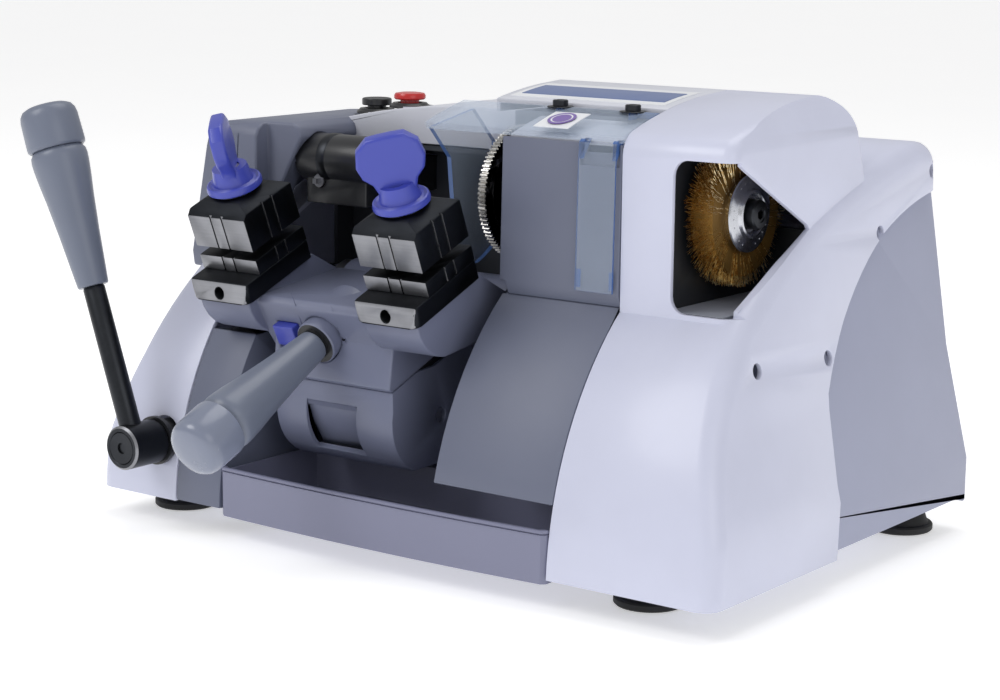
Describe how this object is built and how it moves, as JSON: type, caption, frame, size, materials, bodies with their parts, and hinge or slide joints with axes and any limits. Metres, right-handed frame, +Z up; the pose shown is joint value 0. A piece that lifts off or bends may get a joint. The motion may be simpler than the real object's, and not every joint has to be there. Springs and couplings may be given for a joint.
{
  "type": "key duplicating machine",
  "caption": "Bench key cutting machine with clamps on a tilting carriage, cutter and wire brush on one spindle, side lever and chip tray.",
  "frame": {"origin": "centre of the whole outline at the level of the bench, under the feet", "axes": "+X to the operator's right along the spindle, +Y away from the operator, +Z up"},
  "size_m": [0.4854, 0.4002, 0.2729],
  "materials": {
    "base_plate": "satin",
    "feet": "matte",
    "left_cover": "satin",
    "right_cover": "satin",
    "rear_cover": "satin",
    "left_head": "satin",
    "tool_well": "satin",
    "centre_wall": "satin",
    "left_apron": "satin",
    "button_panel": "satin",
    "centre_roof": "satin",
    "shield": "polished",
    "shield_screws": "satin",
    "brush_liner": "satin",
    "cover_screws": "satin",
    "shaft_supports": "cast",
    "carriage_shaft": "ground",
    "motor_body": "cast",
    "spindle_housing": "cast",
    "spindle_bearings": "ground",
    "drive_belt": "matte",
    "tracer_holder": "satin",
    "tracer_stylus": "ground",
    "lever_bush": "satin",
    "mains_inlet": "satin",
    "button_bezels": "satin",
    "return_spring": "bright",
    "spindle_shaft": "ground",
    "cutter_wheel": "ground",
    "cutter_nut": "satin",
    "brush_bristles": "bright",
    "brush_flanges": "pressed",
    "brush_screw": "blackened",
    "spindle_pulley": "turned",
    "motor_shaft": "ground",
    "motor_pulley": "turned",
    "slide_sleeve": "ground",
    "slide_rack": "milled",
    "carriage_body": "satin",
    "carriage_skirt": "satin",
    "clamp_bases": "ground",
    "clamp_studs": "ground",
    "handle_rod": "satin",
    "handle_grip": "satin",
    "handle_cap": "satin",
    "left_lower_jaw": "ground",
    "right_lower_jaw": "ground",
    "left_upper_jaw": "ground",
    "right_upper_jaw": "ground",
    "left_knob": "satin",
    "right_knob": "satin",
    "release_button": "satin",
    "lever_hub": "blackened",
    "lever_pinion": "cut",
    "lever_rod": "blackened",
    "lever_grip": "satin",
    "lever_cap": "satin",
    "chip_tray": "satin",
    "start_button": "satin",
    "stop_button": "satin"
  },
  "bodies": {
    "base": {"base_plate": "base_plate", "feet": "feet", "left_cover": "left_cover", "right_cover": "right_cover", "rear_cover": "rear_cover", "left_head": "left_head", "tool_well": "tool_well", "centre_wall": "centre_wall", "left_apron": "left_apron", "button_panel": "button_panel", "centre_roof": "centre_roof", "shield": "shield", "shield_screws": "shield_screws", "brush_liner": "brush_liner", "cover_screws": "cover_screws", "shaft_supports": "shaft_supports", "carriage_shaft": "carriage_shaft", "motor_body": "motor_body", "spindle_housing": "spindle_housing", "spindle_bearings": "spindle_bearings", "drive_belt": "drive_belt", "tracer_holder": "tracer_holder", "lever_bush": "lever_bush", "mains_inlet": "mains_inlet", "button_bezels": "button_bezels", "return_spring": "return_spring"},
    "spindle": {"spindle_shaft": "spindle_shaft", "cutter_wheel": "cutter_wheel", "cutter_nut": "cutter_nut", "brush_bristles": "brush_bristles", "brush_flanges": "brush_flanges", "brush_screw": "brush_screw", "spindle_pulley": "spindle_pulley"},
    "motor_rotor": {"motor_shaft": "motor_shaft", "motor_pulley": "motor_pulley"},
    "slide": {"slide_sleeve": "slide_sleeve", "slide_rack": "slide_rack"},
    "carriage": {"carriage_body": "carriage_body", "carriage_skirt": "carriage_skirt", "clamp_bases": "clamp_bases", "clamp_studs": "clamp_studs", "handle_rod": "handle_rod", "handle_grip": "handle_grip", "handle_cap": "handle_cap"},
    "left_swivel": {"left_lower_jaw": "left_lower_jaw"},
    "right_swivel": {"right_lower_jaw": "right_lower_jaw"},
    "left_jaw": {"left_upper_jaw": "left_upper_jaw"},
    "right_jaw": {"right_upper_jaw": "right_upper_jaw"},
    "left_wing": {"left_knob": "left_knob"},
    "right_wing": {"right_knob": "right_knob"},
    "release": {"release_button": "release_button"},
    "lever": {"lever_hub": "lever_hub", "lever_pinion": "lever_pinion", "lever_rod": "lever_rod", "lever_grip": "lever_grip", "lever_cap": "lever_cap"},
    "tray": {"chip_tray": "chip_tray"},
    "start": {"start_button": "start_button"},
    "stop": {"stop_button": "stop_button"},
    "tracer": {"tracer_stylus": "tracer_stylus"}
  },
  "joints": [
    {"name": "spindle_spin", "type": "hinge", "parent": "base", "child": "spindle", "pos_m": [0.01769, 0.0141, 0.2095], "axis": [1, 0, 0], "continuous": true},
    {"name": "motor_spin", "type": "hinge", "parent": "base", "child": "motor_rotor", "pos_m": [0.01769, 0.1151, 0.1], "axis": [1, 0, 0], "continuous": true},
    {"name": "carriage_slide", "type": "slide", "parent": "base", "child": "slide", "axis": [1, 0, 0], "range_m": [-0.012, 0.008], "deforming": ["return_spring"]},
    {"name": "carriage_tilt", "type": "hinge", "parent": "slide", "child": "carriage", "pos_m": [0.01769, 0.0121, 0.138], "axis": [-1, 0, 0], "range_deg": [0, 20.5]},
    {"name": "lever_swing", "type": "hinge", "parent": "base", "child": "lever", "pos_m": [-0.15631, -0.1269, 0.053], "axis": [0, 1, 0], "range_deg": [-35, 24]},
    {"name": "tray_pull", "type": "slide", "parent": "base", "child": "tray", "axis": [0, -1, 0], "range_m": [0, 0.1]},
    {"name": "start_press", "type": "slide", "parent": "base", "child": "start", "axis": [0, 0, -1], "range_m": [0, 0.0018], "stiffness_N_per_m": 400, "springref_m": -0.003},
    {"name": "stop_press", "type": "slide", "parent": "base", "child": "stop", "axis": [0, 0, -1], "range_m": [0, 0.0018], "stiffness_N_per_m": 400, "springref_m": -0.003},
    {"name": "tracer_adjust", "type": "slide", "parent": "base", "child": "tracer", "axis": [0, -1, 0], "range_m": [-0.0015, 0.0015]},
    {"name": "release_press", "type": "slide", "parent": "carriage", "child": "release", "axis": [0, 0.9272, 0.3746], "range_m": [0, 0.003], "stiffness_N_per_m": 400, "springref_m": -0.003},
    {"name": "left_swivel_turn", "type": "hinge", "parent": "carriage", "child": "left_swivel", "pos_m": [-0.10831, -0.07214, 0.17299], "axis": [0, -0.3746, 0.9272], "continuous": true},
    {"name": "left_jaw_lift", "type": "slide", "parent": "left_swivel", "child": "left_jaw", "axis": [0, -0.3746, 0.9272], "range_m": [0, 0.003]},
    {"name": "left_knob_turn", "type": "hinge", "parent": "left_jaw", "child": "left_wing", "pos_m": [-0.10831, -0.08937, 0.21564], "axis": [0, -0.3746, 0.9272], "range_deg": [0, 720]},
    {"name": "right_swivel_turn", "type": "hinge", "parent": "carriage", "child": "right_swivel", "pos_m": [0.01969, -0.07214, 0.17299], "axis": [0, -0.3746, 0.9272], "continuous": true},
    {"name": "right_jaw_lift", "type": "slide", "parent": "right_swivel", "child": "right_jaw", "axis": [0, -0.3746, 0.9272], "range_m": [0, 0.003]},
    {"name": "right_knob_turn", "type": "hinge", "parent": "right_jaw", "child": "right_wing", "pos_m": [0.01969, -0.08937, 0.21564], "axis": [0, -0.3746, 0.9272], "range_deg": [0, 720]}
  ],
  "couplings": [
    {"joint": "motor_spin", "follows": "spindle_spin", "ratio": 1},
    {"joint": "lever_swing", "follows": "carriage_slide", "rad_per_m": 50},
    {"joint": "left_knob_turn", "follows": "left_jaw_lift", "rad_per_m": 4188.8},
    {"joint": "right_knob_turn", "follows": "right_jaw_lift", "rad_per_m": 4188.8}
  ]
}
